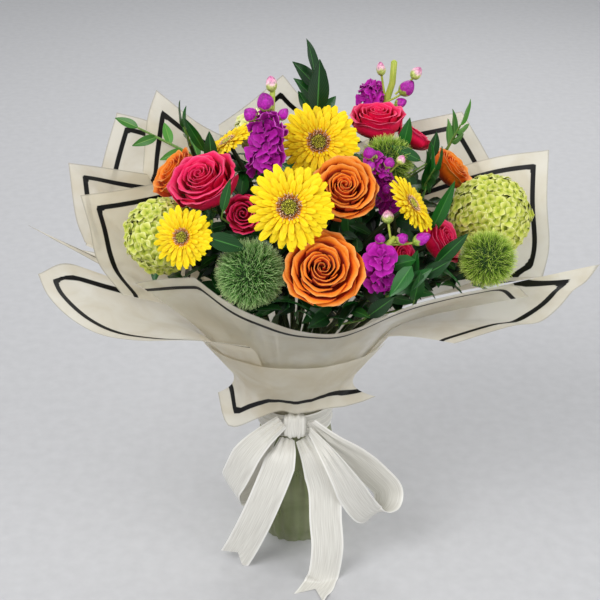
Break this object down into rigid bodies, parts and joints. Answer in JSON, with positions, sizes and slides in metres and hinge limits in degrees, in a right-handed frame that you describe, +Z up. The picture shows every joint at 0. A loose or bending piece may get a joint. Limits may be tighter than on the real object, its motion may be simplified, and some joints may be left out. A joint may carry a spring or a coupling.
{
  "type": "hand-tied bouquet",
  "caption": "Upright hand-tied bouquet of roses, gerberas, hydrangeas, green dianthus and stock with leaves, wrapped in frosted film with a dark border and tied with a satin bow.",
  "frame": {"origin": "on the surface that the bouquet stands on, at the cut end of the stem in the middle of the bundle", "axes": "+Z up along the bundle, -Y towards the bow at the front, +X towards the wide right side of the film"},
  "size_m": [0.6333, 0.3167, 0.5995],
  "materials": {
    "orange_rose_petal": "matte",
    "pink_rose_petal": "matte",
    "gerbera_petal": "matte",
    "gerbera_eye": "matte",
    "hydrangea_floret": "matte",
    "green_dianthus": "matte",
    "stock_floret": "matte",
    "stock_bud": "matte",
    "light_leaf": "satin",
    "dark_leaf": "satin",
    "stem": "matte",
    "twine": "matte",
    "frosted_film": "satin",
    "satin_ribbon": "satin"
  },
  "bodies": {
    "root": {"rose_orange_front": "orange_rose_petal", "rose_orange_centre": "orange_rose_petal", "rose_orange_left": "orange_rose_petal", "rose_orange_right": "orange_rose_petal", "rose_pink_left": "pink_rose_petal", "rose_pink_centre": "pink_rose_petal", "rose_pink_top": "pink_rose_petal", "rose_pink_right": "pink_rose_petal", "rose_pink_low": "pink_rose_petal", "rose_pink_back": "pink_rose_petal", "gerbera_front": "gerbera_petal", "gerbera_top": "gerbera_petal", "gerbera_left": "gerbera_petal", "gerbera_right": "gerbera_petal", "gerbera_back": "gerbera_petal", "gerbera_eye_front": "gerbera_eye", "gerbera_eye_top": "gerbera_eye", "gerbera_eye_left": "gerbera_eye", "gerbera_eye_right": "gerbera_eye", "gerbera_eye_back": "gerbera_eye", "hydrangea_right": "hydrangea_floret", "hydrangea_left": "hydrangea_floret", "hydrangea_back": "hydrangea_floret", "green_dianthus_front": "green_dianthus", "green_dianthus_right": "green_dianthus", "green_dianthus_back": "green_dianthus", "stock_left": "stock_floret", "stock_top": "stock_floret", "stock_centre": "stock_floret", "stock_right": "stock_floret", "stock_shoot_left": "stock_bud", "stock_shoot_top": "stock_bud", "ruscus_left": "light_leaf", "ruscus_right": "light_leaf", "foliage_left_back": "dark_leaf", "foliage_top": "dark_leaf", "foliage_right": "dark_leaf", "foliage_front": "dark_leaf", "foliage_centre": "dark_leaf", "stems": "stem", "tie": "twine", "film_left_inner": "frosted_film", "film_left": "frosted_film", "film_back_left": "frosted_film", "film_back_left_outer": "frosted_film", "film_back": "frosted_film", "film_back_right": "frosted_film", "film_right": "frosted_film", "film_left_tip": "frosted_film", "film_front_left": "frosted_film", "film_front": "frosted_film", "film_front_right": "frosted_film", "film_collar": "frosted_film", "film_sleeve": "frosted_film", "ribbon_band": "satin_ribbon", "ribbon_knot": "satin_ribbon", "ribbon_loop_left": "satin_ribbon", "ribbon_loop_right": "satin_ribbon", "ribbon_tail_left": "satin_ribbon", "ribbon_tail_right": "satin_ribbon"}
  },
  "joints": []
}
